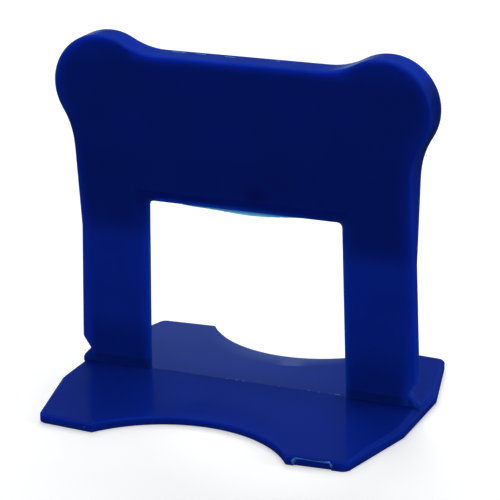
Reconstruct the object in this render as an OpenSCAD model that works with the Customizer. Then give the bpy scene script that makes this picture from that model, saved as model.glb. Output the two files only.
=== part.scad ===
// Tile levelling clip, injection moulded in one piece.
// The base lies under two neighbouring tiles, the two thin legs stand in the joint between them,
// and a wedge driven through the window presses the tiles down against the base.
// When the grout bed has set, the upright is knocked off along the break line at its feet.
// Millimetres, +Z up. X runs along the joint, Y across it. The origin is the middle of the underside.

/* [Base plate] */
// Width of the base between its two side edges
base_w = 40; // [38:0.5:50]
// Depth of the base from tab to tab
base_d = 31.5; // [27:0.1:40]
// Width over the outer corners of the tabs
tab_w = 35; // [31:0.2:38]
// Length of the straight side edge beside each leg
side_l = 10.2; // [5:0.2:15]
// How far the front edge of a tab falls back from its inner corner to its outer one
tab_slant = 0.45; // [0:0.05:1.5]
// Radius of the tabs' outer corners
corner_r = 1; // [0.7:0.1:2.5]
// Radius of the bite between two tabs
bite_r = 13.5; // [11:0.5:18]
// Depth of the bite between two tabs
bite_d = 5.65; // [3:0.05:7]
// Thickness of the base along the ridge that joins the feet
ridge_t = 1.5; // [1.3:0.05:2.5]
// Thickness of the base at the tabs, where the roof meets the rim bevel
tab_t = 1.1; // [1.05:0.05:1.25]
// Height of the upright wall round the rim
rim_t = 0.9; // [0.6:0.05:1]
// Width of the shallow bevel in the middle of a bite; it runs out at the tabs' corners
bite_bevel = 3.9; // [2:0.1:5]

/* [Legs] */
// Thickness of the legs, which sets the width of the joint
joint_w = 1.2; // [1:0.1:2.5]
// Width over the legs at the top of the base
foot_w = 39.6; // [38.6:0.1:39.8]
// Width over the legs where they start to thicken
neck_w = 38.6; // [36:0.1:39]
// Height above the base at which the legs start to thicken
taper_start = 15.8; // [12:0.2:18]
// Length of the taper from the legs' thickness to the header's
taper_l = 9.7; // [6:0.1:14]

/* [Window] */
// Clear width of the window at the top of the base
window_foot_w = 23.1; // [21:0.1:24]
// Clear width of the window at the header
window_top_w = 22.3; // [20:0.1:22.8]
// Clear height of the window above the base
window_h = 19.5; // [17:0.1:23]
// Radius of the two upper corners
window_r = 0.5; // [0.3:0.1:2]
// Angle between the lead-in bevel round the window and the face
lead_angle = 34; // [25:1:55]
// Thickness of the edge left between the front and back bevels
lead_land = 0.3; // [0.2:0.05:0.6]

/* [Header] */
// Height of the header's top edge above the base
header_h = 36; // [32:0.5:45]
// Thickness of the header
header_t = 3.2; // [2.8:0.1:5]

/* [Ears] */
// Radius of the round ear at each end of the header
ear_r = 5.5; // [4:0.05:7]
// How far an ear stands out past the neck
ear_overhang = 2.1; // [1:0.05:3.5]
// How far an ear stands above the top edge
ear_rise = 1.7; // [0.8:0.05:3]
// Radius of the hollow that runs an ear into the straight edges
ear_blend = 8.2; // [3:0.2:10]

/* [Break line] */
// Depth of the notch in the outer edge of each foot
notch_d = 1; // [0.5:0.1:2]
// Height of the notch's point above the base
notch_h = 1.6; // [1.3:0.1:2]
// Rise of the notch's upper flank
notch_upper = 1.4; // [1:0.1:3]
// Drop of the notch's lower flank
notch_lower = 1.1; // [0.6:0.1:1.2]
// Depth of the undercut that thins the front and back of each foot at the base
undercut_d = 0.3; // [0.1:0.05:0.4]
// Height of the undercut above the base
undercut_h = 1.4; // [0.8:0.1:2]

/* [Gate scar] */
// Width of the scar where the gate was torn off a front tab
gate_w = 4; // [2:0.1:5]
// Height of the scar above the underside
gate_h = 0.75; // [0.4:0.05:0.85]
// Depth of the scar
gate_d = 0.2; // [0.1:0.05:0.4]
// Distance of the scar from the tab's inner corner
gate_inset = 0.9; // [0.2:0.1:1.3]

/* [Hidden] */
$fn = 128;
// Extra length of a cutting shape past the faces that it cuts
past = 2;
// Height in the middle of the base from which the upright grows
root_z = ridge_t / 2;

header_z = ridge_t + header_h;
window_z = ridge_t + window_h;
taper_z = ridge_t + taper_start;

bite_y = base_d / 2 - bite_d + bite_r;
bite_half = sqrt(pow(bite_r, 2) - pow(bite_r - bite_d, 2));

ear_x = neck_w / 2 + ear_overhang - ear_r;
ear_z = header_z + ear_rise - ear_r;
top_z = header_z + ear_rise;

// A tab's edge runs on over the bite to the middle of the base
slant = atan(tab_slant / (tab_w / 2 - bite_half));
apex_y = base_d / 2 + bite_half * tan(slant);
corner_y = base_d / 2 - tab_slant;

// The base's outline before the bites, counter-clockwise
plan = [
    [0, -apex_y],
    [tab_w / 2, -corner_y],
    [base_w / 2, -side_l / 2],
    [base_w / 2, side_l / 2],
    [tab_w / 2, corner_y],
    [0, apex_y],
    [-tab_w / 2, corner_y],
    [-base_w / 2, side_l / 2],
    [-base_w / 2, -side_l / 2],
    [-tab_w / 2, -corner_y],
];
tab_corners = [1, 4, 6, 9];

// Height of the base's roof at a distance y from its ridge
function roof_z(y) = ridge_t - (ridge_t - tab_t) * abs(y) / (base_d / 2);

// Half the width over the legs at the height z
function leg_half(z) = foot_w / 2 + (neck_w - foot_w) / 2 * (z - ridge_t) / taper_start;

// Half the width of the window at the height z
function window_half(z) = window_foot_w / 2 + (window_top_w - window_foot_w) / 2 * (z - ridge_t) / window_h;

// Points on an arc round the centre c, from the angle a0 to a1
function arc(c, r, a0, a1, steps) =
    [for (i = [0 : steps]) c + r * [cos(a0 + (a1 - a0) * i / steps), sin(a0 + (a1 - a0) * i / steps)]];

// Mirror a list of points left to right and keep its turning direction
function mirrored(points) = [for (i = [len(points) - 1 : -1 : 0]) [-points[i].x, points[i].y]];

// Base: tabs, bites, a roof that falls both ways from the ridge, and a bevelled rim
module base_outline() {
    difference() {
        polygon(plan);
        for (side = [-1, 1])
            translate([0, side * bite_y]) circle(r = bite_r);
    }
}

// Solid under the roof, whose ridge is the parting line of the mould
module roof() {
    section = [
        [-base_d / 2, 0],
        [base_d / 2, 0],
        [base_d / 2, tab_t],
        [0, ridge_t],
        [-base_d / 2, tab_t],
    ];
    rotate([90, 0, 90])
        linear_extrude(height = base_w + past, center = true) polygon(section);
}

// What the 45 degree rim bevel takes off along the straight edge from p to q
module rim_cut(p, q) {
    run = q - p;
    translate([p.x, p.y, rim_t])
        rotate([0, 0, atan2(run.y, run.x)])
            translate([-past, 0, 0])
                rotate([90, 0, 90])
                    linear_extrude(height = norm(run) + 2 * past)
                        polygon([[-past, -past], [past, past], [-past, past]]);
}

// What rounding takes off the outer corner p of a tab, between the edges that run to a and b.
// The post that it leaves has the rim's wall and its bevel.
module corner_cut(p, a, b) {
    u = (a - p) / norm(a - p);
    v = (b - p) / norm(b - p);
    centre = p + (u + v) * corner_r / abs(u.x * v.y - u.y * v.x);
    touch_u = p + u * ((centre - p) * u);
    touch_v = p + v * ((centre - p) * v);
    translate(centre)
        difference() {
            translate([0, 0, -past])
                linear_extrude(height = 2 * past)
                    polygon([[0, 0], 2 * (touch_u - centre), 2 * (p - centre), 2 * (touch_v - centre)]);
            translate([0, 0, rim_t - 2 * past]) cylinder(r = corner_r, h = 2 * past);
            translate([0, 0, rim_t]) cylinder(r1 = corner_r, r2 = 0, h = corner_r);
        }
}

// What the shallow bevel takes off along a bite: a cone that meets the rim in the middle of the
// bite, the roof at the bevel's inner edge, and the tabs' full height at their inner corners
module bite_cut() {
    mid_y = base_d / 2 - bite_d;
    spread = bite_bevel / (roof_z(mid_y - bite_bevel) - rim_t);
    near_y = mid_y - spread * (tab_t - rim_t);
    cone_y = (pow(bite_half, 2) + pow(base_d / 2, 2) - pow(near_y, 2)) / (base_d - 2 * near_y);
    translate([0, cone_y, rim_t])
        cylinder(r1 = cone_y - mid_y, r2 = cone_y - mid_y + spread * past, h = past);
}

// Scar on the front edge of the right-hand tab
module gate_scar() {
    translate([bite_half, -base_d / 2, 0])
        rotate([0, 0, slant])
            translate([gate_inset, -gate_d, -past]) cube([gate_w, 2 * gate_d, past + gate_h]);
}

module base() {
    difference() {
        intersection() {
            linear_extrude(height = ridge_t) base_outline();
            roof();
        }
        for (i = [0 : len(plan) - 1])
            rim_cut(plan[i], plan[(i + 1) % len(plan)]);
        for (i = tab_corners)
            corner_cut(plan[i], plan[i - 1], plan[(i + 1) % len(plan)]);
        for (turn = [0, 180])
            rotate([0, 0, turn]) bite_cut();
        gate_scar();
    }
}

// Upright, front view: legs, header and ears in one outline
module ear_hollow(centre, foot) {
    difference() {
        polygon([[ear_x, ear_z], foot, centre]);
        translate(centre) circle(r = ear_blend);
    }
}

module upright_outline() {
    reach = ear_r + ear_blend;
    side_x = neck_w / 2 + ear_blend;
    side_z = ear_z - sqrt(pow(reach, 2) - pow(side_x - ear_x, 2));
    over_z = header_z + ear_blend;
    over_x = ear_x - sqrt(pow(reach, 2) - pow(over_z - ear_z, 2));
    half = [
        [leg_half(root_z), root_z],
        [neck_w / 2, taper_z],
        [neck_w / 2, ear_z],
        [ear_x, header_z],
    ];
    polygon(concat(half, mirrored(half)));
    for (side = [0, 1])
        mirror([side, 0]) {
            translate([ear_x, ear_z]) circle(r = ear_r);
            ear_hollow([side_x, side_z], [neck_w / 2, side_z]);
            ear_hollow([over_x, over_z], [over_x, header_z]);
        }
}

// Upright, side view: undercut, legs, taper and header
module upright_section() {
    leg = joint_w / 2;
    half = [
        [leg - undercut_d, root_z],
        [leg - undercut_d, ridge_t],
        [leg, ridge_t + undercut_h],
        [leg, taper_z],
        [header_t / 2, taper_z + taper_l],
        [header_t / 2, top_z + past],
    ];
    polygon(concat(half, mirrored(half)));
}

// Window outline, with its height measured from the point that the lead-in bevel spreads from
lead_z = window_z - window_half(window_z);

function window_points() =
    let (
        lean = atan((window_foot_w - window_top_w) / 2 / window_h),
        corner_z = window_z - window_r,
        corner = [window_half(corner_z) - window_r / cos(lean), corner_z - lead_z],
        half = concat(
            [[window_half(-past), -past - lead_z]],
            arc(corner, window_r, lean, 90, 6)
        )
    )
    concat(half, mirrored(half));

// Lead-in for the wedge: the window grows at lead_angle from its land to each face
module window_cut() {
    depth = header_t / 2 + past;
    lead_d = depth - lead_land / 2;
    growth = 1 + lead_d / tan(lead_angle) / window_half(window_z);
    translate([0, 0, lead_z]) {
        rotate([90, 0, 0])
            linear_extrude(height = 2 * depth, center = true) polygon(window_points());
        for (turn = [0, 180])
            rotate([90, 0, turn])
                translate([0, 0, lead_land / 2])
                    linear_extrude(height = lead_d, scale = growth) polygon(window_points());
    }
}

// Notch in the outer edge of a foot, where the break starts
module notch_cut() {
    tip_z = ridge_t + notch_h;
    tip = [leg_half(tip_z) - notch_d, tip_z];
    top = [leg_half(tip_z + notch_upper), tip_z + notch_upper];
    bottom = [leg_half(tip_z - notch_lower), tip_z - notch_lower];
    rotate([90, 0, 0])
        linear_extrude(height = header_t, center = true)
            polygon([tip, bottom, bottom + [past, 0], top + [past, 0], top]);
}

module upright() {
    difference() {
        intersection() {
            rotate([90, 0, 0])
                linear_extrude(height = header_t + past, center = true) upright_outline();
            rotate([90, 0, 90])
                linear_extrude(height = base_w + 2 * past + 2 * ear_overhang, center = true) upright_section();
        }
        window_cut();
        for (side = [0, 1])
            mirror([side, 0, 0]) notch_cut();
    }
}

module levelling_clip() {
    color("#1b2f7d") {
        base();
        upright();
    }
}

levelling_clip();
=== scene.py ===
import math
import random

import bmesh
import bpy
from bpy.props import FloatProperty, FloatVectorProperty, IntProperty, PointerProperty
from mathutils import Matrix, Vector, noise


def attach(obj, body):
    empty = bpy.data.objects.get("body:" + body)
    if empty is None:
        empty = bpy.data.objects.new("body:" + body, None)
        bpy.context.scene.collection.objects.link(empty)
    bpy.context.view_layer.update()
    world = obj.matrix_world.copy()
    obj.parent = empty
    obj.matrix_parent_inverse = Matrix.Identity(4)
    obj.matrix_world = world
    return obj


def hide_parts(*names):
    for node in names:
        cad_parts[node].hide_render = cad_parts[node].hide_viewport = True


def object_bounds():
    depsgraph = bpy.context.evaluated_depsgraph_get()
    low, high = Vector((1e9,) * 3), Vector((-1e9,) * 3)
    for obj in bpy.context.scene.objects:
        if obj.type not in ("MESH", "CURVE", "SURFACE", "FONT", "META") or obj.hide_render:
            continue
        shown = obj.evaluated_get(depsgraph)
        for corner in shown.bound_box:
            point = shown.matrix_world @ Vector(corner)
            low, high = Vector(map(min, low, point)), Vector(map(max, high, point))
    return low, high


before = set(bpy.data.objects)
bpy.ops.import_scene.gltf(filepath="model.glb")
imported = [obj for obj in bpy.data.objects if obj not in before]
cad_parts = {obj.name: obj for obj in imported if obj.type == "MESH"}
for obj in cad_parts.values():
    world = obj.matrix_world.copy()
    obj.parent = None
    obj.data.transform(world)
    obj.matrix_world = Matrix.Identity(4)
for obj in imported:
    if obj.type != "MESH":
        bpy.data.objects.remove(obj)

bl_info = {
    "name": "Tile levelling clip",
    "version": (1, 0, 0),
    "blender": (4, 5, 0),
    "location": "View3D > Sidebar > Clip",
    "description": "Dresses the moulded tile levelling clip: edges, mould flash, gate scar and stage",
    "category": "Object",
}

MM = 0.001
NODE = "levelling_clip"
BODY_MATERIAL = "moulded_polypropylene_blue"
LIP_MATERIAL = "moulded_polypropylene_blue_lip"
BODY = "root"
CAD_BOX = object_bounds()

# Places on the solid, in metres

FRONT = CAD_BOX[0][1]
TOP = CAD_BOX[1][2]
EAR_REACH = CAD_BOX[1][0]
EAR_RADIUS = 5.5 * MM
HEADER_TOP = 37.5 * MM
# highest line of the base, along the parting line
RIDGE = 1.5 * MM
# heights between which the legs thicken to the header
TAPER = (17.3 * MM, 27.0 * MM)
# short facets where the straight side runs into the ear: their heights, and a place inside of them
NECK = (26.45 * MM, 26.95 * MM)
NECK_HALF = 19.0 * MM
# window: half its width, its upper edge, and a depth that holds the land between its lead-in bevels
WINDOW_HALF = 11.55 * MM
WINDOW_TOP = 21.0 * MM
LAND = 0.3 * MM
# tabs: inner corner and slant of the front wall, and a place inside the rounds of the outer corners
TAB_CORNER = 10.98 * MM
TAB_SLANT = math.radians(3.95)
TAB_SIDE = 16.5 * MM
# gate scar: its ends and its upper edge
SCAR = (11.88 * MM, 15.87 * MM)
SCAR_TOP = 0.75 * MM


# Colours and nodes

def linear(hex_colour):
    """sRGB hex to linear red, green and blue."""
    parts = [int(hex_colour[i:i + 2], 16) / 255 for i in (1, 3, 5)]
    return tuple(c / 12.92 if c <= 0.04045 else ((c + 0.055) / 1.055) ** 2.4 for c in parts)


def rgba(colour):
    """A colour for a shader socket."""
    return (*colour, 1.0)


def add_node(tree, kind, inputs=None, **settings):
    """Adds one node; inputs maps a socket's name or number to a value or to another node's output."""
    node = tree.nodes.new(kind)
    for key, value in settings.items():
        setattr(node, key, value)
    for key, value in (inputs or {}).items():
        if isinstance(value, bpy.types.NodeSocket):
            tree.links.new(value, node.inputs[key])
        else:
            node.inputs[key].default_value = value
    return node


def new_material(name):
    """An empty node material and its tree."""
    material = bpy.data.materials.new(name)
    material.use_nodes = True
    material.node_tree.nodes.clear()
    return material, material.node_tree


# Sizes and colours a user may change

class ClipSettings(bpy.types.PropertyGroup):
    """Sizes and colours of the clip's visible pieces"""
    body_colour: FloatVectorProperty(
        name="Body", description="Pigment of the moulded body",
        subtype="COLOR", size=3, min=0, max=1, default=linear("#0b299a"))
    film_colour: FloatVectorProperty(
        name="Film", description="Light that comes through the film of flash in the window",
        subtype="COLOR", size=3, min=0, max=1, default=linear("#66a4c6"))
    tear_colour: FloatVectorProperty(
        name="Tear", description="Stress-whitened plastic at torn places",
        subtype="COLOR", size=3, min=0, max=1, default=linear("#4f96ff"))
    edge_radius: FloatProperty(
        name="Edge", description="Round on the upright's edges",
        subtype="DISTANCE", unit="LENGTH", default=0.28 * MM, min=0.02 * MM, max=0.35 * MM)
    rim_radius: FloatProperty(
        name="Rim", description="Round on the base's edges",
        subtype="DISTANCE", unit="LENGTH", default=0.2 * MM, min=0.02 * MM, max=0.25 * MM)
    land_radius: FloatProperty(
        name="Window edge", description="Round on the narrow edge inside the window",
        subtype="DISTANCE", unit="LENGTH", default=0.06 * MM, min=0.01 * MM, max=0.1 * MM)
    scar_radius: FloatProperty(
        name="Scar edge", description="Round on the edges of the gate scar",
        subtype="DISTANCE", unit="LENGTH", default=0.03 * MM, min=0.01 * MM, max=0.06 * MM)
    seam_radius: FloatProperty(
        name="Seam", description="Radius of the flash along the parting line",
        subtype="DISTANCE", unit="LENGTH", default=0.018 * MM, min=0.005 * MM, max=0.05 * MM)
    film_thickness: FloatProperty(
        name="Film thickness", description="Thickness of the film of flash in the window",
        subtype="DISTANCE", unit="LENGTH", default=0.04 * MM, min=0.01 * MM, max=0.2 * MM)
    tear_raggedness: FloatProperty(
        name="Raggedness", description="How far the torn plastic strays from its line",
        subtype="DISTANCE", unit="LENGTH", default=0.07 * MM, min=0, max=0.2 * MM)
    seed: IntProperty(name="Seed", description="Start of the random draws", default=7)


class StageSettings(bpy.types.PropertyGroup):
    """Camera, lamps and floor"""
    floor_colour: FloatVectorProperty(
        name="Floor", description="Colour of the floor",
        subtype="COLOR", size=3, min=0, max=1, default=linear("#e8e8e8"))
    view_azimuth: FloatProperty(
        name="Azimuth", description="Turn of the camera round the clip",
        subtype="ANGLE", unit="ROTATION", default=math.radians(23.742))
    view_elevation: FloatProperty(
        name="Elevation", description="Height of the camera above the horizon",
        subtype="ANGLE", unit="ROTATION", default=math.radians(18.6226))
    view_roll: FloatProperty(
        name="Roll", description="Turn of the camera about its own axis",
        subtype="ANGLE", unit="ROTATION", default=math.radians(-0.8715))
    view_distance: FloatProperty(
        name="Distance", description="Distance from the camera to the clip",
        subtype="DISTANCE", unit="LENGTH", default=243.1509 * MM)
    view_target: FloatVectorProperty(
        name="Target", description="Point that the camera looks at",
        subtype="XYZ", unit="LENGTH", default=(0.5741 * MM, 0, 16.7222 * MM))
    view_lens: FloatProperty(
        name="Lens", description="Focal length in millimetres on a 36 mm frame", default=164.14)
    top_lamp: FloatProperty(
        name="Top lamp", description="Power of the lamp overhead", unit="POWER", default=0.133)
    back_lamp: FloatProperty(
        name="Back lamp", description="Power of the lamp behind", unit="POWER", default=1.53)
    right_lamp: FloatProperty(
        name="Right lamp", description="Power of the lamp on the right", unit="POWER", default=1.17)
    front_lamp: FloatProperty(
        name="Front lamp", description="Power of the wide lamp in front", unit="POWER", default=1.02)
    card: FloatProperty(
        name="Card", description="Brightness of the pale card mirrored in the clip", default=0.65)
    room: FloatProperty(
        name="Room", description="Brightness of the surroundings", default=0.07)
    room_colour: FloatVectorProperty(
        name="Room colour", description="Colour of the surroundings",
        subtype="COLOR", size=3, min=0, max=1, default=linear("#caedf8"))


# Edit-mode helpers

def deselect():
    """Leaves edit mode and selects nothing."""
    if bpy.context.object and bpy.context.object.mode != "OBJECT":
        bpy.ops.object.mode_set(mode="OBJECT")
    bpy.ops.object.select_all(action="DESELECT")


def make_active(obj):
    """Selects one object alone."""
    deselect()
    obj.select_set(True)
    bpy.context.view_layer.objects.active = obj


def finish_piece(obj, material):
    """Gives a finished piece its material and its body."""
    obj.data.materials.clear()
    obj.data.materials.append(material)
    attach(obj, BODY)


# Patterns and masks on a surface

# values between which most of a noise pattern lies
NOISE_LOW, NOISE_HIGH = 0.3, 0.7


def cloud(tree, coords, size, detail, low, high):
    """A cloudy pattern with patches about as wide as size and values from low to high."""
    pattern = add_node(tree, "ShaderNodeTexNoise", {"Vector": coords, "Scale": 1 / size, "Detail": detail})
    spread = add_node(tree, "ShaderNodeMapRange", {
        "Value": pattern.outputs["Fac"], "From Min": NOISE_LOW, "From Max": NOISE_HIGH,
        "To Min": low, "To Max": high})
    return spread.outputs["Result"]


def patch_distance(tree, coords, centre, size):
    """Distance from a spot on the surface, 1 at its rim."""
    offset = add_node(tree, "ShaderNodeVectorMath", {0: coords, 1: centre}, operation="SUBTRACT")
    scaled = add_node(tree, "ShaderNodeVectorMath", {
        0: offset.outputs["Vector"], 1: size}, operation="DIVIDE")
    length = add_node(tree, "ShaderNodeVectorMath", {0: scaled.outputs["Vector"]}, operation="LENGTH")
    return length.outputs["Value"]


def soft_mask(tree, steps):
    """A mask that is 1 inside all its steps: each rises from 0 where its value is at start to 1 at end."""
    mask = 1.0
    for value, start, end in steps:
        rise = add_node(tree, "ShaderNodeMapRange", {
            "Value": value, "From Min": start, "From Max": end}, interpolation_type="SMOOTHSTEP")
        both = add_node(tree, "ShaderNodeMath", {0: mask, 1: rise.outputs["Result"]}, operation="MULTIPLY")
        mask = both.outputs[0]
    return mask


def fill_ramp(ramp, stops):
    """Sets the stops of a grey ramp."""
    while len(ramp.elements) < len(stops):
        ramp.elements.new(0.5)
    for element, (place, tone) in zip(ramp.elements, stops):
        element.position = place
        element.color = (tone, tone, tone, 1.0)


def seen_directly(tree):
    """1 for what the camera sees straight or through the film, 0 in mirrored and bounced light."""
    path = add_node(tree, "ShaderNodeLightPath")
    seen = add_node(tree, "ShaderNodeMath", {
        0: path.outputs["Is Camera Ray"], 1: path.outputs["Is Transmission Ray"]}, operation="MAXIMUM")
    return seen.outputs[0]


# Materials

# refractive index of polypropylene
IOR = 1.49
# sockets of the Mix node, whose names repeat: two numbers, two colours and the mixed colour
NUMBER_A, NUMBER_B = 2, 3
COLOUR_A, COLOUR_B, MIXED_COLOUR = 6, 7, 2

# painted light and shade by height in millimetres, multiplied into the colour: the thin legs are painted
# paler than the thick header, for the light that comes through them, and their feet and undercut darker, as
# painted shade; the base's walls, a thin line at the top of the undercut, as a painted highlight, and the top
# are painted paler
PAINTED_LIGHT_BY_HEIGHT = (
    (0.0, 1.25), (0.85, 1.25), (1.05, 1.0), (1.5, 1.0), (1.6, 0.47), (2.45, 0.49), (2.7, 0.7), (2.83, 0.78),
    (3.1, 0.73), (5.0, 0.8), (8.0, 1.2), (16.5, 1.25), (18.5, 0.95), (22.0, 0.88), (36.2, 0.88), (37.3, 1.0))
# the lip's painted light: a little paler all over, and without the feet's painted shade
LIP_PAINTED_LIGHT_BY_HEIGHT = ((0.0, 1.1), (39.0, 1.1))
# edges painted paler, as a painted glow where light enters: the tone there, and where it starts and where it
# is full along an axis
PAINTED_EDGE_GLOW = (
    # outer side of the left leg
    (1.55, (("height", RIDGE, RIDGE + 0.1 * MM), ("height", 31.0 * MM, 19.0 * MM),
            ("x", -17.9 * MM, -19.3 * MM))),
    # outer side of the right leg
    (1.36, (("height", RIDGE, RIDGE + 0.1 * MM), ("height", 36.0 * MM, 22.0 * MM),
            ("x", 17.4 * MM, 19.3 * MM))),
    # upper edge of the window
    (2.2, (("height", WINDOW_TOP - 0.2 * MM, WINDOW_TOP - 0.1 * MM),
           ("height", WINDOW_TOP + 0.8 * MM, WINDOW_TOP + 0.1 * MM),
           ("x", -11.2 * MM, -9.5 * MM), ("x", 11.5 * MM, -1.0 * MM))),
    # upper edge of the header
    (1.33, (("height", HEADER_TOP - 1.2 * MM, HEADER_TOP - 0.2 * MM), ("across", 13.0 * MM, 11.5 * MM))),
    # rim over the header and the ears
    (1.33, (("height", HEADER_TOP - 1.2 * MM, HEADER_TOP - 0.2 * MM), ("deep", 1.55 * MM, 1.35 * MM))),
)
# painted glow round the left and the right ear, on their faces: the tone by side
EAR_PAINTED_GLOW = ((-1, 1.27), (1, 1.13))
# where it starts and is full: in parts of the ear's radius, towards the outside and towards a face
EAR_RING = (0.7, 0.95)
EAR_SIDE = (0.5 * MM, 2.5 * MM)
EAR_FACE = (1.3 * MM, 1.5 * MM)
EAR_OUTWARD = math.radians(32)
# an ear's size for its ring: a metre deep, so that depth doesn't count
EAR_SIZE = (EAR_RADIUS, 1.0, EAR_RADIUS)
# a faint darker spot under the middle of the header: its place, its size, its tone, and where it starts to
# fade and ends, in parts of its size
DARK_SPOT = (1.85 * MM, -1.2 * MM, 23.3 * MM)
DARK_SPOT_SIZE = (1.6 * MM, 0.8 * MM, 1.3 * MM)
DARK_SPOT_TONE = 0.76
DARK_SPOT_FADE = (0.2, 1.25)


def ear_ring(tree, coords, deep, side):
    """Mask of the painted glow on the outer part of an ear's rim, on its faces."""
    centre = (side * (EAR_REACH - EAR_RADIUS), 0, TOP - EAR_RADIUS)
    offset = add_node(tree, "ShaderNodeVectorMath", {0: coords, 1: centre}, operation="SUBTRACT")
    outward = add_node(tree, "ShaderNodeVectorMath", {
        0: offset.outputs["Vector"], 1: (side * math.cos(EAR_OUTWARD), 0, math.sin(EAR_OUTWARD))},
        operation="DOT_PRODUCT")
    return soft_mask(tree, (
        (patch_distance(tree, coords, centre, EAR_SIZE), *EAR_RING),
        (outward.outputs["Value"], *EAR_SIDE), (deep, *EAR_FACE)))


def painted_light_and_shade(tree, coords, painted_by_height):
    """Painted light and shade in the plastic's colour: by height, paler at the edges that light enters by,
    and a painted glow round the ears.
    """
    axes = add_node(tree, "ShaderNodeSeparateXYZ", {0: coords})
    places = {"x": axes.outputs["X"], "height": axes.outputs["Z"]}
    for name, axis in (("across", "X"), ("deep", "Y")):
        distance = add_node(tree, "ShaderNodeMath", {0: axes.outputs[axis]}, operation="ABSOLUTE")
        places[name] = distance.outputs[0]
    share = add_node(tree, "ShaderNodeMath", {0: places["height"], 1: TOP}, operation="DIVIDE")
    ramp = add_node(tree, "ShaderNodeValToRGB", {"Fac": share.outputs[0]})
    fill_ramp(ramp.color_ramp, [(height * MM / TOP, tone) for height, tone in painted_by_height])
    masks = []
    for tone, steps in PAINTED_EDGE_GLOW:
        masks.append((tone, soft_mask(tree, [(places[name], start, end) for name, start, end in steps])))
    for side, tone in EAR_PAINTED_GLOW:
        masks.append((tone, ear_ring(tree, coords, places["deep"], side)))
    level = ramp.outputs["Color"]
    for tone, mask in masks:
        level = add_node(tree, "ShaderNodeMix", {0: mask, NUMBER_A: level, NUMBER_B: tone}).outputs[0]
    return level


def dark_spot(tree, coords):
    """Darkening of the colour at the dark spot, 1 beyond it."""
    start, end = DARK_SPOT_FADE
    fade = add_node(tree, "ShaderNodeMapRange", {
        "Value": patch_distance(tree, coords, DARK_SPOT, DARK_SPOT_SIZE), "From Min": start, "From Max": end,
        "To Min": DARK_SPOT_TONE, "To Max": 1.0}, interpolation_type="SMOOTHSTEP")
    return fade.outputs["Result"]


def moulded_polypropylene(settings, name, painted_by_height):
    """Dark blue polypropylene, injection moulded in a smooth tool.

    The eye gets a deep blue that glows at thin and lit edges, partly because light travels about a
    millimetre inside it and partly from painted light and shade in its colour, and a soft satin gloss.
    """
    material, tree = new_material(name)
    coords = add_node(tree, "ShaderNodeTexCoord").outputs["Object"]
    # flow of the pigment in the melt, patches about 6 mm across, which changes tint and gloss
    tone = cloud(tree, coords, size=6 * MM, detail=3.0, low=0.94, high=1.06)
    gloss = cloud(tree, coords, size=6 * MM, detail=3.0, low=0.13, high=0.18)
    # satin of the tool's surface, grain drawn 0.12 mm wide, coarser than real, so that it shows
    grain = add_node(tree, "ShaderNodeTexNoise", {"Vector": coords, "Scale": 1 / (0.12 * MM), "Detail": 2.0})
    bump = add_node(tree, "ShaderNodeBump", {
        "Height": grain.outputs["Fac"], "Strength": 0.03, "Distance": 0.01 * MM})
    # painted light and shade, by height, at edges and round the ears, and the darker spot, scale the colour
    for part in (painted_light_and_shade(tree, coords, painted_by_height), dark_spot(tree, coords)):
        tone = add_node(tree, "ShaderNodeMath", {0: tone, 1: part}, operation="MULTIPLY").outputs[0]
    body = add_node(tree, "ShaderNodeVectorMath", {
        0: tuple(settings.body_colour), "Scale": tone}, operation="SCALE")
    shader = add_node(tree, "ShaderNodeBsdfPrincipled", {
        "Base Color": body.outputs["Vector"],
        "Roughness": gloss,
        "IOR": IOR,
        "Subsurface Weight": 1.0,
        "Subsurface Radius": (0.4, 1.0, 1.0),
        "Subsurface Scale": 2.8 * MM,
        "Normal": bump.outputs["Normal"]})
    add_node(tree, "ShaderNodeOutputMaterial", {"Surface": shader.outputs["BSDF"]})
    return material


# heights between which the film thickens towards the plastic, and how many times as thick it gets
FILM_ROOT = (WINDOW_TOP - 0.4 * MM, WINDOW_TOP - 0.05 * MM)
FILM_THICKER = 2.2


def flash_film(settings):
    """Polypropylene flash, a film a few hundredths of a millimetre thick.

    The eye gets a pale teal edge, because so thin a film lets most of the light behind it through.
    """
    material, tree = new_material("polypropylene_flash_film")
    coords = add_node(tree, "ShaderNodeTexCoord").outputs["Object"]
    # thickness of the film varies over about 1.5 mm
    level = cloud(tree, coords, size=1.5 * MM, detail=2.0, low=0.85, high=1.15)
    # towards the plastic red and green are lost first
    height = add_node(tree, "ShaderNodeSeparateXYZ", {0: coords}).outputs["Z"]
    thick_colour = [part ** FILM_THICKER for part in settings.film_colour]
    colour = add_node(tree, "ShaderNodeMix", {
        0: soft_mask(tree, ((height, *FILM_ROOT),)),
        COLOUR_A: rgba(settings.film_colour), COLOUR_B: rgba(thick_colour)}, data_type="RGBA")
    tint = add_node(tree, "ShaderNodeVectorMath", {
        0: colour.outputs[MIXED_COLOUR], "Scale": level}, operation="SCALE")
    shader = add_node(tree, "ShaderNodeBsdfPrincipled", {
        "Base Color": tint.outputs["Vector"], "Roughness": 0.3, "IOR": IOR, "Transmission Weight": 1.0})
    add_node(tree, "ShaderNodeOutputMaterial", {"Surface": shader.outputs["BSDF"]})
    return material


def torn_polypropylene(settings):
    """Polypropylene that was torn or scraped.

    The eye gets a light, dull blue, because stretching opens tiny voids that scatter the light.
    """
    material, tree = new_material("torn_polypropylene")
    coords = add_node(tree, "ShaderNodeTexCoord").outputs["Object"]
    # whitening varies over about 0.4 mm
    level = cloud(tree, coords, size=0.4 * MM, detail=3.0, low=0.7, high=1.25)
    tint = add_node(tree, "ShaderNodeVectorMath", {
        0: tuple(settings.tear_colour), "Scale": level}, operation="SCALE")
    shader = add_node(tree, "ShaderNodeBsdfPrincipled", {
        "Base Color": tint.outputs["Vector"], "Roughness": 0.5, "IOR": IOR,
        "Subsurface Weight": 1.0, "Subsurface Radius": (0.6, 1.0, 1.0), "Subsurface Scale": 0.2 * MM})
    add_node(tree, "ShaderNodeOutputMaterial", {"Surface": shader.outputs["BSDF"]})
    return material


FLOOR_GLOW = 0.54
FLOOR_IN_GLOSS = "#202020"


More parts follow.
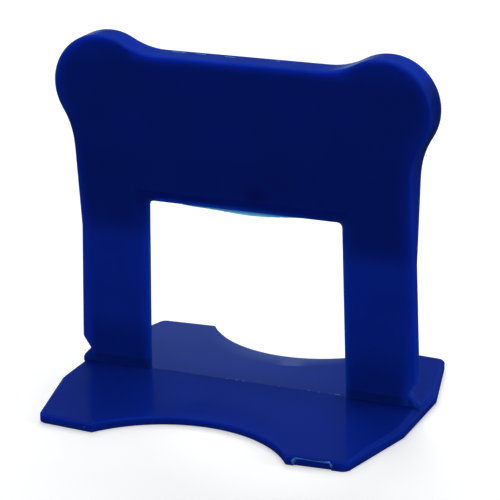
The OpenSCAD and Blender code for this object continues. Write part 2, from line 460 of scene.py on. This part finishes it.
def studio_floor(settings):
    """Matt white board, evenly lit.

    The eye gets a plain pale floor with the clip's shadow; mirrored and bounced light gets a dark one.
    """
    material, tree = new_material("matt_white_board")
    white = add_node(tree, "ShaderNodeBsdfDiffuse", {"Color": rgba(settings.floor_colour)})
    glow = add_node(tree, "ShaderNodeEmission", {
        "Color": rgba(settings.floor_colour), "Strength": FLOOR_GLOW})
    lit = add_node(tree, "ShaderNodeAddShader", {0: white.outputs[0], 1: glow.outputs[0]})
    dark = add_node(tree, "ShaderNodeBsdfDiffuse", {"Color": rgba(linear(FLOOR_IN_GLOSS))})
    mix = add_node(tree, "ShaderNodeMixShader", {
        "Fac": seen_directly(tree), 1: dark.outputs[0], 2: lit.outputs[0]})
    add_node(tree, "ShaderNodeOutputMaterial", {"Surface": mix.outputs[0]})
    return material


# Moulded body

# points that are one, and the turn below which faces are one
MERGE = 0.02 * MM
FLAT_TURN = math.radians(0.3)
# how far past the window, across and up, and past the scar, across and deep, their rounds reach
WINDOW_MARGIN = (1.0 * MM, 0.5 * MM)
SCAR_MARGIN = (0.2 * MM, 0.5 * MM)
# shortest edge that gets a round, and the part of an edge across it that the round may take
SHORTEST_EDGE = 0.17 * MM
ROOM_SHARE = 0.3
# an edge runs across another when the cosine between them is below this
ACROSS = 0.77
ROUND_STEPS = 4
# turns between faces: from the first they are rounded, from the second crisp, below the third smooth
ROUND_TURN = math.radians(20)
SHARP_TURN = math.radians(2.5)
SMOOTH_TURN = math.radians(35)
LARGE_FACE = 4.0 * MM ** 2
# half width of the soft band at each bend of the taper, and how near an edge lies to count as the bend
CREASE_BAND = 0.6 * MM
BEND_REACH = CREASE_BAND / 4


def wanted_round(middle, settings):
    """The round that an edge gets, by the place of its middle."""
    beside, above = WINDOW_MARGIN
    in_window = abs(middle.x) < WINDOW_HALF + beside and RIDGE < middle.z < WINDOW_TOP + above
    if in_window and abs(middle.y) < LAND:
        return settings.land_radius
    beside, behind = SCAR_MARGIN
    on_scar = SCAR[0] - beside < middle.x < SCAR[1] + beside and middle.y < FRONT + behind
    if on_scar and middle.z < SCAR_TOP:
        return settings.scar_radius
    if middle.z < RIDGE:
        return settings.rim_radius
    return settings.edge_radius


def round_width(edge, settings):
    """Width of the round on an edge, no more than the edges across it leave room for."""
    middle = (edge.verts[0].co + edge.verts[1].co) / 2
    beside_gate = middle.x > SCAR[1] and middle.y < 0 and middle.z < SCAR_TOP
    on_corner = abs(middle.x) > TAB_SIDE and middle.z < RIDGE and not beside_gate
    if edge.calc_length() < SHORTEST_EDGE and not on_corner:
        return 0.0
    if edge.calc_face_angle(0.0) < ROUND_TURN or not edge.is_convex:
        return 0.0
    width = wanted_round(middle, settings)
    along = (edge.verts[1].co - edge.verts[0].co).normalized()
    for vert in edge.verts:
        for other in vert.link_edges:
            across = other.other_vert(vert).co - vert.co
            if abs(across.normalized().dot(along)) < ACROSS:
                width = min(width, ROOM_SHARE * across.length)
    return width


def is_crease(edge):
    """A slight bend between two large flat faces, which stays crisp unless it is the taper's."""
    if not SHARP_TURN < edge.calc_face_angle(0.0) < ROUND_TURN:
        return False
    if min(face.calc_area() for face in edge.link_faces) < LARGE_FACE:
        return False
    height = edge.verts[0].co.z
    return all(abs(height - level) > BEND_REACH for level in TAPER)


def solid_copy(name):
    """A copy of the solid with its loose triangles joined into whole faces."""
    piece = bpy.data.objects.new(name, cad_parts[NODE].data.copy())
    bpy.context.scene.collection.objects.link(piece)
    make_active(piece)
    bpy.ops.mesh.customdata_custom_splitnormals_clear()
    bpy.ops.object.mode_set(mode="EDIT")
    bpy.ops.mesh.select_all(action="SELECT")
    bpy.ops.mesh.remove_doubles(threshold=MERGE)
    bpy.ops.mesh.dissolve_limited(angle_limit=FLAT_TURN)
    bpy.ops.object.mode_set(mode="OBJECT")
    return piece


def join_neck(body):
    """Joins the facets where the neck ends, which are too short to carry a round; in edit mode."""
    bpy.ops.mesh.select_mode(type="EDGE")
    bpy.ops.mesh.select_all(action="DESELECT")
    shape = bmesh.from_edit_mesh(body.data)
    for edge in shape.edges:
        low, high = sorted(vert.co.z for vert in edge.verts)
        on_side = abs(edge.verts[0].co.x) > NECK_HALF and edge.verts[0].co.y * edge.verts[1].co.y < 0
        edge.select_set(on_side and NECK[0] < low and high < NECK[1])
    bpy.ops.mesh.dissolve_edges(use_verts=True)


def band_taper():
    """Cuts narrow bands beside the slight bends of the taper, so that only they shade softly."""
    for level in TAPER:
        for side in (-1, 1):
            bpy.ops.mesh.select_all(action="SELECT")
            bpy.ops.mesh.bisect(plane_co=(0, 0, level + side * CREASE_BAND), plane_no=(0, 0, 1))


def mark_edges(body, settings):
    """Marks the creases and the edges to round, as parts of the widest round, and returns that."""
    shape = bmesh.new()
    shape.from_mesh(body.data)
    widths = [round_width(edge, settings) for edge in shape.edges]
    creases = [is_crease(edge) for edge in shape.edges]
    shape.free()
    widest = max(widths)
    weights = body.data.attributes.new("bevel_weight_edge", "FLOAT", "EDGE")
    weights.data.foreach_set("value", [width / widest for width in widths])
    body.data.edges.foreach_set("use_edge_sharp", creases)
    return widest


class CLIP_OT_body(bpy.types.Operator):
    """Copies the solid, joins its facets and rounds its edges"""
    bl_idname = "clip.body"
    bl_label = "Moulded body"

    def execute(self, context):
        settings = context.scene.clip
        body = solid_copy("moulded_body")
        bpy.ops.object.mode_set(mode="EDIT")
        join_neck(body)
        band_taper()
        bpy.ops.object.mode_set(mode="OBJECT")
        widest = mark_edges(body, settings)

        bevel = body.modifiers.new("rounds", "BEVEL")
        bevel.limit_method = "WEIGHT"
        bevel.width = widest
        bevel.segments = ROUND_STEPS
        bevel.use_clamp_overlap = False
        bpy.ops.object.modifier_apply(modifier=bevel.name)
        bpy.ops.object.shade_smooth_by_angle(angle=SMOOTH_TURN)
        flat = body.modifiers.new("flat_faces", "WEIGHTED_NORMAL")
        # at its highest, so that large faces stay flat
        flat.weight = 100
        flat.keep_sharp = True
        bpy.ops.object.modifier_apply(modifier=flat.name)

        finish_piece(body, moulded_polypropylene(settings, BODY_MATERIAL, PAINTED_LIGHT_BY_HEIGHT))
        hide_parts(NODE)
        return {"FINISHED"}


# Foot lips

# corners of the front of a foot's outer lip in millimetres, flush with the undercut at the inner end
LIP = ((18.6, -0.3, 1.35), (19.72, -0.6, 1.35), (19.72, -0.6, 1.95), (18.76, -0.6, 2.92))
LIP_THICKNESS = 0.3 * MM
LIP_ROUND = 0.145 * MM
LIP_STEPS = 5
LIP_SMOOTH = math.radians(40)
# order of a new plane's corners round its rim
PLANE_RING = (0, 1, 3, 2)


class CLIP_OT_lips(bpy.types.Operator):
    """Fills the outer end of the undercut at each foot with a rounded lip"""
    bl_idname = "clip.lips"
    bl_label = "Foot lips"

    def execute(self, context):
        settings = context.scene.clip
        deselect()
        bpy.ops.mesh.primitive_plane_add(size=MM)
        lips = context.object
        lips.name = "foot_lips"
        for index, corner in zip(PLANE_RING, LIP):
            lips.data.vertices[index].co = Vector(corner) * MM
        bpy.ops.object.mode_set(mode="EDIT")
        bpy.ops.mesh.select_mode(type="FACE")
        bpy.ops.mesh.select_all(action="SELECT")
        bpy.ops.mesh.extrude_region_move(TRANSFORM_OT_translate={"value": (0, LIP_THICKNESS, 0)})
        bpy.ops.mesh.select_all(action="SELECT")
        bpy.ops.mesh.normals_make_consistent(inside=False)
        bpy.ops.mesh.bevel(offset=LIP_ROUND, segments=LIP_STEPS, affect="EDGES")
        bpy.ops.object.mode_set(mode="OBJECT")
        both = lips.modifiers.new("both_sides", "MIRROR")
        both.use_axis = (True, True, False)
        both.use_mirror_merge = False
        bpy.ops.object.modifier_apply(modifier=both.name)
        bpy.ops.object.shade_smooth_by_angle(angle=LIP_SMOOTH)
        finish_piece(lips, moulded_polypropylene(settings, LIP_MATERIAL, LIP_PAINTED_LIGHT_BY_HEIGHT))
        return {"FINISHED"}


# Parting seam

# longest step along the seam, points that are one, and the height below which there is no seam
SEAM_STEP = 0.4 * MM
SEAM_MERGE = 0.08 * MM
UNDERSIDE = 0.2 * MM
# its uneven radius: mean and swing in parts of the setting, length of the waves, least radius, and the
# part of the room to the box's sides that it may take
SEAM_MEAN = 0.7
SEAM_SWING = 0.8
SEAM_WAVE = 1.3 * MM
SEAM_LEAST = 0.002 * MM
SEAM_ROOM = 0.7


def bead(piece, radius):
    """Makes a chain of edges into a round bead; radius gives its radius at a point."""
    make_active(piece)
    bpy.ops.object.convert(target="CURVE")
    curve = bpy.context.object.data
    curve.dimensions = "3D"
    curve.bevel_depth = 1.0
    curve.bevel_resolution = 1
    curve.use_fill_caps = True
    for spline in curve.splines:
        for point in spline.points:
            point.radius = radius(point.co.xyz)
    bpy.ops.object.convert(target="MESH")
    return bpy.context.object


def room(point):
    """Distance from a point to the sides and top of the solid's box."""
    return min(EAR_REACH - abs(point.x), TOP - point.z)


def keep_in_box(piece):
    """Moves vertices that stick out of the solid's box back to its sides."""
    for vert in piece.data.vertices:
        vert.co = [min(max(value, low), high) for value, low, high in zip(vert.co, *CAD_BOX)]


def halve_long_edges(piece):
    """Halves edges until none is longer than the seam's step; in edit mode."""
    bpy.ops.mesh.select_mode(type="EDGE")
    while True:
        shape = bmesh.from_edit_mesh(piece.data)
        bpy.ops.mesh.select_all(action="DESELECT")
        long_edges = [edge for edge in shape.edges if edge.calc_length() > SEAM_STEP]
        if not long_edges:
            break
        for edge in long_edges:
            edge.select_set(True)
        bpy.ops.mesh.subdivide(number_cuts=1)


class CLIP_OT_seam(bpy.types.Operator):
    """Cuts the solid's middle plane and runs a fine uneven bead along the parting line"""
    bl_idname = "clip.seam"
    bl_label = "Parting seam"

    def execute(self, context):
        settings = context.scene.clip
        seam = solid_copy("parting_seam")
        bpy.ops.object.mode_set(mode="EDIT")
        bpy.ops.mesh.select_all(action="SELECT")
        bpy.ops.mesh.bisect(plane_co=(0, 0, 0), plane_no=(0, 1, 0), clear_inner=True, clear_outer=True)
        shape = bmesh.from_edit_mesh(seam.data)
        bpy.ops.mesh.select_all(action="DESELECT")
        for vert in shape.verts:
            vert.select_set(vert.co.z < UNDERSIDE)
        bpy.ops.mesh.delete(type="VERT")
        bpy.ops.mesh.select_all(action="SELECT")
        bpy.ops.mesh.remove_doubles(threshold=SEAM_MERGE)
        halve_long_edges(seam)
        bpy.ops.object.mode_set(mode="OBJECT")
        if not seam.data.edges:
            raise RuntimeError("the middle plane left no line for the seam")

        def radius(point):
            wave = noise.noise(point / SEAM_WAVE + Vector((settings.seed, 0, 0)))
            uneven = settings.seam_radius * (SEAM_MEAN + SEAM_SWING * wave)
            return max(SEAM_LEAST, min(uneven, SEAM_ROOM * room(point)))

        seam = bead(seam, radius)
        keep_in_box(seam)
        bpy.ops.object.shade_smooth()
        finish_piece(seam, bpy.data.materials[BODY_MATERIAL])
        return {"FINISHED"}


# Window film

# lower edge of the film, millimetres across and up
FILM_EDGE = (
    (-7.5, 20.97), (-6.1, 20.85), (-4.1, 20.8), (-2.4, 20.71), (-1.1, 20.62), (0.4, 20.55), (2.5, 20.62),
    (4.3, 20.78), (5.6, 20.9), (6.6, 20.99))
FILM_COLUMNS = 60
# height of a row of the grid that the film starts from, and how far the film reaches into the plastic
FILM_ROW = 0.5 * MM
FILM_INSIDE = 0.03 * MM
# how ragged the lower edge is, the length of its waves, and points that are one
FILM_RAGGED = 0.04 * MM
FILM_WAVE = 0.5 * MM
FILM_MERGE = 0.002 * MM


def edge_height(x):
    """Height of the film's lower edge at x."""
    for (x0, z0), (x1, z1) in zip(FILM_EDGE, FILM_EDGE[1:]):
        if x0 * MM <= x <= x1 * MM:
            return (z0 + (z1 - z0) * (x / MM - x0) / (x1 - x0)) * MM
    return WINDOW_TOP


class CLIP_OT_film(bpy.types.Operator):
    """Hangs the thin torn film of flash from the window's upper edge"""
    bl_idname = "clip.film"
    bl_label = "Window film"

    def execute(self, context):
        settings = context.scene.clip
        deselect()
        left, right = FILM_EDGE[0][0] * MM, FILM_EDGE[-1][0] * MM
        bpy.ops.mesh.primitive_grid_add(
            x_subdivisions=FILM_COLUMNS, y_subdivisions=2, size=1.0,
            location=((left + right) / 2, 0, WINDOW_TOP), rotation=(math.radians(90), 0, 0))
        film = context.object
        film.name = "window_film"
        film.scale = (right - left, 2 * FILM_ROW, 1.0)
        bpy.ops.object.transform_apply(location=True, rotation=True, scale=True)
        for vert in film.data.vertices:
            row = round((vert.co.z - WINDOW_TOP) / FILM_ROW)
            if row < 0:
                ragged = FILM_RAGGED * noise.noise(Vector((vert.co.x / FILM_WAVE, settings.seed, 0)))
                vert.co.z = min(edge_height(vert.co.x) + ragged, WINDOW_TOP)
            else:
                vert.co.z = WINDOW_TOP + row * FILM_INSIDE
        sheet = film.modifiers.new("sheet", "SOLIDIFY")
        sheet.thickness = settings.film_thickness
        sheet.offset = 0.0
        make_active(film)
        bpy.ops.object.modifier_apply(modifier=sheet.name)
        bpy.ops.object.mode_set(mode="EDIT")
        bpy.ops.mesh.select_all(action="SELECT")
        bpy.ops.mesh.remove_doubles(threshold=FILM_MERGE)
        bpy.ops.mesh.normals_make_consistent(inside=False)
        bpy.ops.object.mode_set(mode="OBJECT")
        finish_piece(film, flash_film(settings))
        return {"FINISHED"}


# Torn gate, flecks and scratch

# torn rim of the gate: millimetres across, up, and radius
GATE_RIM = (
    (11.85, 0.17, 0.1), (11.83, 0.33, 0.24), (11.8, 0.55, 0.3), (11.96, 0.76, 0.2), (12.3, 0.86, 0.08),
    (12.9, 0.86, 0.045), (13.6, 0.84, 0.035), (14.3, 0.83, 0.05), (14.9, 0.82, 0.065), (15.3, 0.83, 0.1),
    (15.75, 0.84, 0.15), (15.9, 0.64, 0.22), (15.95, 0.45, 0.16), (15.85, 0.25, 0.05))
GATE_STEPS = 4
# draws of the rim's radius, how far its middle is sunk into the wall in parts of that radius, and how
# far it is brought out again in millimetres
GATE_SPREAD = (0.75, 1.3)
GATE_SUNK = 0.8
GATE_PROUD = 0.03
GATE_GRAIN = 0.035 * MM
# part of the raggedness that a point of torn plastic strays
STRAY_SHARE = 0.4
# scraped flecks on the parting line, the header's top and the left tab: points and radius in millimetres
FLECKS = (
    (((-2.6, 0.05, 1.5), (-2.2, 0.12, 1.5)), 0.022),
    (((-1.5, 0.05, 1.5), (-1.2, 0.1, 1.5)), 0.022),
    (((-0.6, 0.1, 1.5), (-0.3, 0.05, 1.5)), 0.02),
    (((3.6, 0.1, 1.5), (3.85, 0.05, 1.5)), 0.022),
    (((7.1, 0.15, 1.5), (7.3, 0.1, 1.5)), 0.03),
    (((8.3, 0.1, 1.5), (8.5, 0.2, 1.5)), 0.035),
    (((9.5, 0.1, 1.5), (9.7, 0.1, 1.5)), 0.025),
    (((10.2, 0.1, 1.5), (10.6, 0.2, 1.5), (10.9, 0.1, 1.5)), 0.022),
    (((-8.4, 0.8, 37.5), (-7.9, 0.74, 37.5), (-6.8, 0.8, 37.5)), 0.048),
    (((-5.7, 0.8, 37.5), (-5.0, 0.77, 37.5), (-4.5, 0.75, 37.5)), 0.048),
    (((-2.3, 0.7, 37.5), (-1.1, 0.64, 37.5)), 0.048),
    (((3.5, 0.76, 37.5), (4.0, 0.72, 37.5)), 0.048),
    (((-15.95, -15.4, 0.72), (-15.8, -15.41, 0.69)), 0.03),
    (((-12.0, -15.67, 0.42), (-11.86, -15.68, 0.51), (-11.72, -15.69, 0.56)), 0.03),
    (((-10.86, -15.55, 1.06), (-10.84, -15.5, 1.09)), 0.035),
)
FLECK_SPREAD = (0.6, 1.2)
FLECK_GRAIN = 0.02 * MM
# a scratch on the right ear, in millimetres
SCRATCH = ((17.77, -1.585, 38.12), (18.2, -1.585, 37.85), (18.52, -1.585, 37.37))
SCRATCH_RADIUS = 0.03 * MM


def chain(name, points):
    """A chain of edges through the points."""
    deselect()
    bpy.ops.mesh.primitive_plane_add(size=MM)
    piece = bpy.context.object
    piece.name = name
    bpy.ops.object.mode_set(mode="EDIT")
    bpy.ops.mesh.select_mode(type="VERT")
    bpy.ops.mesh.select_all(action="SELECT")
    bpy.ops.mesh.merge(type="CENTER")
    bpy.ops.transform.translate(value=points[0])
    for start, end in zip(points, points[1:]):
        bpy.ops.mesh.extrude_vertices_move(TRANSFORM_OT_translate={"value": Vector(end) - Vector(start)})
    bpy.ops.object.mode_set(mode="OBJECT")
    return piece


def roughen(piece, grain, settings):
    """Remeshes a bead finely and strays its surface, as torn plastic does."""
    make_active(piece)
    fuse = piece.modifiers.new("fuse", "REMESH")
    fuse.mode = "VOXEL"
    fuse.voxel_size = grain
    bpy.ops.object.modifier_apply(modifier=fuse.name)
    bpy.ops.object.mode_set(mode="EDIT")
    bpy.ops.mesh.select_all(action="SELECT")
    bpy.ops.transform.vertex_random(offset=settings.tear_raggedness * STRAY_SHARE, seed=settings.seed)
    bpy.ops.mesh.vertices_smooth(factor=0.5, repeat=1)
    bpy.ops.mesh.normals_make_consistent(inside=False)
    bpy.ops.object.mode_set(mode="OBJECT")
    bpy.ops.object.shade_smooth()


def gate_wall(x):
    """Depth of the front wall at x, beside the tab's corner."""
    return FRONT + (x - TAB_CORNER) * math.tan(TAB_SLANT)


def gate_points(draws, settings):
    """Points along the gate's torn rim, which stray at random, and the radius at each."""
    stray = settings.tear_raggedness / MM * STRAY_SHARE
    points, widths = [], []
    for start, end in zip(GATE_RIM, GATE_RIM[1:]):
        for step in range(GATE_STEPS):
            x, z, radius = (a + (b - a) * step / GATE_STEPS for a, b in zip(start, end))
            x += draws.uniform(-stray, stray)
            z += draws.uniform(-stray, stray)
            radius *= draws.uniform(*GATE_SPREAD)
            y = gate_wall(x * MM) + (GATE_SUNK * radius - GATE_PROUD) * MM
            points.append(Vector((x * MM, y, z * MM)))
            widths.append(radius * MM)
    return points, widths


class CLIP_OT_torn(bpy.types.Operator):
    """Lays the whitened ragged rim round the torn gate, the small scraped flecks and the scratch"""
    bl_idname = "clip.torn"
    bl_label = "Torn gate and flecks"

    def execute(self, context):
        settings = context.scene.clip
        whitened = torn_polypropylene(settings)
        draws = random.Random(settings.seed)
        points, widths = gate_points(draws, settings)

        def width_near(point):
            return min(zip(points, widths), key=lambda pair: (pair[0] - point).length)[1]

        rim = bead(chain("gate_tear", points), width_near)
        roughen(rim, GATE_GRAIN, settings)
        keep_in_box(rim)
        finish_piece(rim, whitened)

        for number, (places, radius) in enumerate(FLECKS):
            fleck = chain(f"fleck_{number}", [Vector(place) * MM for place in places])
            fleck = bead(fleck, lambda point: radius * MM * draws.uniform(*FLECK_SPREAD))
            roughen(fleck, FLECK_GRAIN, settings)
            finish_piece(fleck, whitened)

        scratch = chain("ear_scratch", [Vector(place) * MM for place in SCRATCH])
        scratch = bead(scratch, lambda point: SCRATCH_RADIUS)
        roughen(scratch, FLECK_GRAIN, settings)
        finish_piece(scratch, bpy.data.materials[BODY_MATERIAL])
        return {"FINISHED"}


# Stage, in metres

FLOOR_SIZE = 4.0
FLOOR_HEIGHT = -0.05 * MM
# each lamp's place, and the width and height of its face; its power is the setting of the same name
LAMPS = {
    "top_lamp": ((0, 0, 0.2), (0.15, 0.15)),
    "back_lamp": ((-0.17, 0.39, 0.42), (0.35, 0.25)),
    "right_lamp": ((0.45, 0.1, 0.13), (0.3, 0.3)),
    "front_lamp": ((-0.12, -0.5, 0.15), (0.5, 0.25)),
}
LAMP_TARGET = (0, 0, 18 * MM)
# the pale card's middle and size, and where its pale part starts and is full, from the top and from the right
CARD_PLACE = (-0.2, 0.146, 0.045)
CARD_SIZE = (0.4, 0.09)
CARD_LOW = (0.068, 0.0)
CARD_LEFT = (-0.03, -0.065)
SENSOR_MM = 36.0
VIEW_RANGE = (0.01, 10.0)


def aim(obj, position, target, roll=0.0):
    """Places a lamp or camera so that it looks at target."""
    back = (Vector(position) - Vector(target)).normalized()
    right = Vector((0, 0, 1)).cross(back)
    right = right.normalized() if right.length > 1e-6 else Vector((1, 0, 0))
    up = back.cross(right)
    turn = Matrix((right, up, back)).transposed() @ Matrix.Rotation(roll, 3, "Z")
    obj.matrix_world = Matrix.Translation(position) @ turn.to_4x4()


def make_floor(settings):
    """A wide floor just under the clip."""
    deselect()
    bpy.ops.mesh.primitive_plane_add(size=FLOOR_SIZE, location=(0, 0, FLOOR_HEIGHT))
    floor = bpy.context.object
    floor.name = "floor"
    bpy.ops.object.transform_apply(location=True)
    floor.data.materials.append(studio_floor(settings))


def softbox(name, position, size, power):
    """A rectangular area lamp that lights the clip but isn't mirrored in it."""
    light = bpy.data.lights.new(name, "AREA")
    light.shape = "RECTANGLE"
    light.size, light.size_y = size
    light.energy = power
    lamp = bpy.data.objects.new(name, light)
    bpy.context.scene.collection.objects.link(lamp)
    lamp.visible_glossy = False
    aim(lamp, position, LAMP_TARGET)


def pale_card(settings):
    """A card behind the clip, as dim as the room and paler low on the left, which only gloss mirrors."""
    material, tree = new_material("pale_card")
    coords = add_node(tree, "ShaderNodeTexCoord").outputs["Object"]
    axes = add_node(tree, "ShaderNodeSeparateXYZ", {0: coords})
    start, full = CARD_LOW
    low = add_node(tree, "ShaderNodeMapRange", {
        "Value": axes.outputs["Z"], "From Min": start, "From Max": full, "To Max": settings.card})
    left = soft_mask(tree, ((axes.outputs["X"], *CARD_LEFT),))
    level = add_node(tree, "ShaderNodeMath", {
        0: left, 1: low.outputs["Result"], 2: settings.room}, operation="MULTIPLY_ADD")
    glow = add_node(tree, "ShaderNodeEmission", {
        "Color": rgba(settings.room_colour), "Strength": level.outputs[0]})
    add_node(tree, "ShaderNodeOutputMaterial", {"Surface": glow.outputs[0]})
    deselect()
    bpy.ops.mesh.primitive_plane_add(size=1.0, location=CARD_PLACE, rotation=(math.radians(90), 0, 0))
    card = bpy.context.object
    card.name = "pale_card"
    card.scale = (*CARD_SIZE, 1.0)
    bpy.ops.object.transform_apply(location=True, rotation=True, scale=True)
    card.data.materials.append(material)
    for ray in ("camera", "diffuse", "transmission", "volume_scatter", "shadow"):
        setattr(card, f"visible_{ray}", False)


def make_surroundings(settings):
    """A dim room round the clip that the camera sees as white."""
    world = bpy.data.worlds.new("surroundings")
    bpy.context.scene.world = world
    world.use_nodes = True
    tree = world.node_tree
    tree.nodes.clear()
    dim = add_node(tree, "ShaderNodeBackground", {
        "Color": rgba(settings.room_colour), "Strength": settings.room})
    white = add_node(tree, "ShaderNodeBackground", {"Color": rgba(linear("#ffffff")), "Strength": 1.0})
    mix = add_node(tree, "ShaderNodeMixShader", {
        "Fac": seen_directly(tree), 1: dim.outputs[0], 2: white.outputs[0]})
    add_node(tree, "ShaderNodeOutputWorld", {"Surface": mix.outputs[0]})


def make_camera(settings):
    """The camera at the photograph's viewing angle."""
    camera_data = bpy.data.cameras.new("camera")
    camera_data.sensor_width = SENSOR_MM
    camera_data.lens = settings.view_lens
    camera_data.clip_start, camera_data.clip_end = VIEW_RANGE
    camera = bpy.data.objects.new("camera", camera_data)
    bpy.context.scene.collection.objects.link(camera)
    azimuth, elevation = settings.view_azimuth, settings.view_elevation
    back = Vector((math.sin(azimuth) * math.cos(elevation),
                   -math.cos(azimuth) * math.cos(elevation), math.sin(elevation)))
    target = Vector(settings.view_target)
    aim(camera, target + back * settings.view_distance, target, settings.view_roll)
    bpy.context.scene.camera = camera


class CLIP_OT_stage(bpy.types.Operator):
    """Makes the floor, the lamps, the surroundings and the camera"""
    bl_idname = "clip.stage"
    bl_label = "Stage"

    def execute(self, context):
        settings = context.scene.clip_stage
        context.scene.view_settings.view_transform = "Standard"
        make_floor(settings)
        for name, (position, size) in LAMPS.items():
            softbox(name, position, size, getattr(settings, name))
        pale_card(settings)
        make_surroundings(settings)
        make_camera(settings)
        return {"FINISHED"}


# Add-on

class CLIP_PT_panel(bpy.types.Panel):
    """Lists the clip's pieces in the sidebar"""
    bl_idname = "CLIP_PT_panel"
    bl_label = "Tile levelling clip"
    bl_space_type = "VIEW_3D"
    bl_region_type = "UI"
    bl_category = "Clip"

    def draw(self, context):
        for group in (context.scene.clip, context.scene.clip_stage):
            box = self.layout.box()
            for name in group.__annotations__:
                box.prop(group, name)
        for operator in OPERATORS:
            self.layout.operator(operator.bl_idname)


OPERATORS = (CLIP_OT_body, CLIP_OT_lips, CLIP_OT_seam, CLIP_OT_film, CLIP_OT_torn, CLIP_OT_stage)
CLASSES = (ClipSettings, StageSettings, *OPERATORS, CLIP_PT_panel)


def register():
    for cls in CLASSES:
        bpy.utils.register_class(cls)
    bpy.types.Scene.clip = PointerProperty(type=ClipSettings)
    bpy.types.Scene.clip_stage = PointerProperty(type=StageSettings)


def unregister():
    del bpy.types.Scene.clip_stage
    del bpy.types.Scene.clip
    for cls in reversed(CLASSES):
        bpy.utils.unregister_class(cls)


def main():
    register()
    bpy.ops.clip.body()
    bpy.ops.clip.lips()
    bpy.ops.clip.seam()
    bpy.ops.clip.film()
    bpy.ops.clip.torn()
    bpy.ops.clip.stage()


if __name__ == "__main__":
    main()
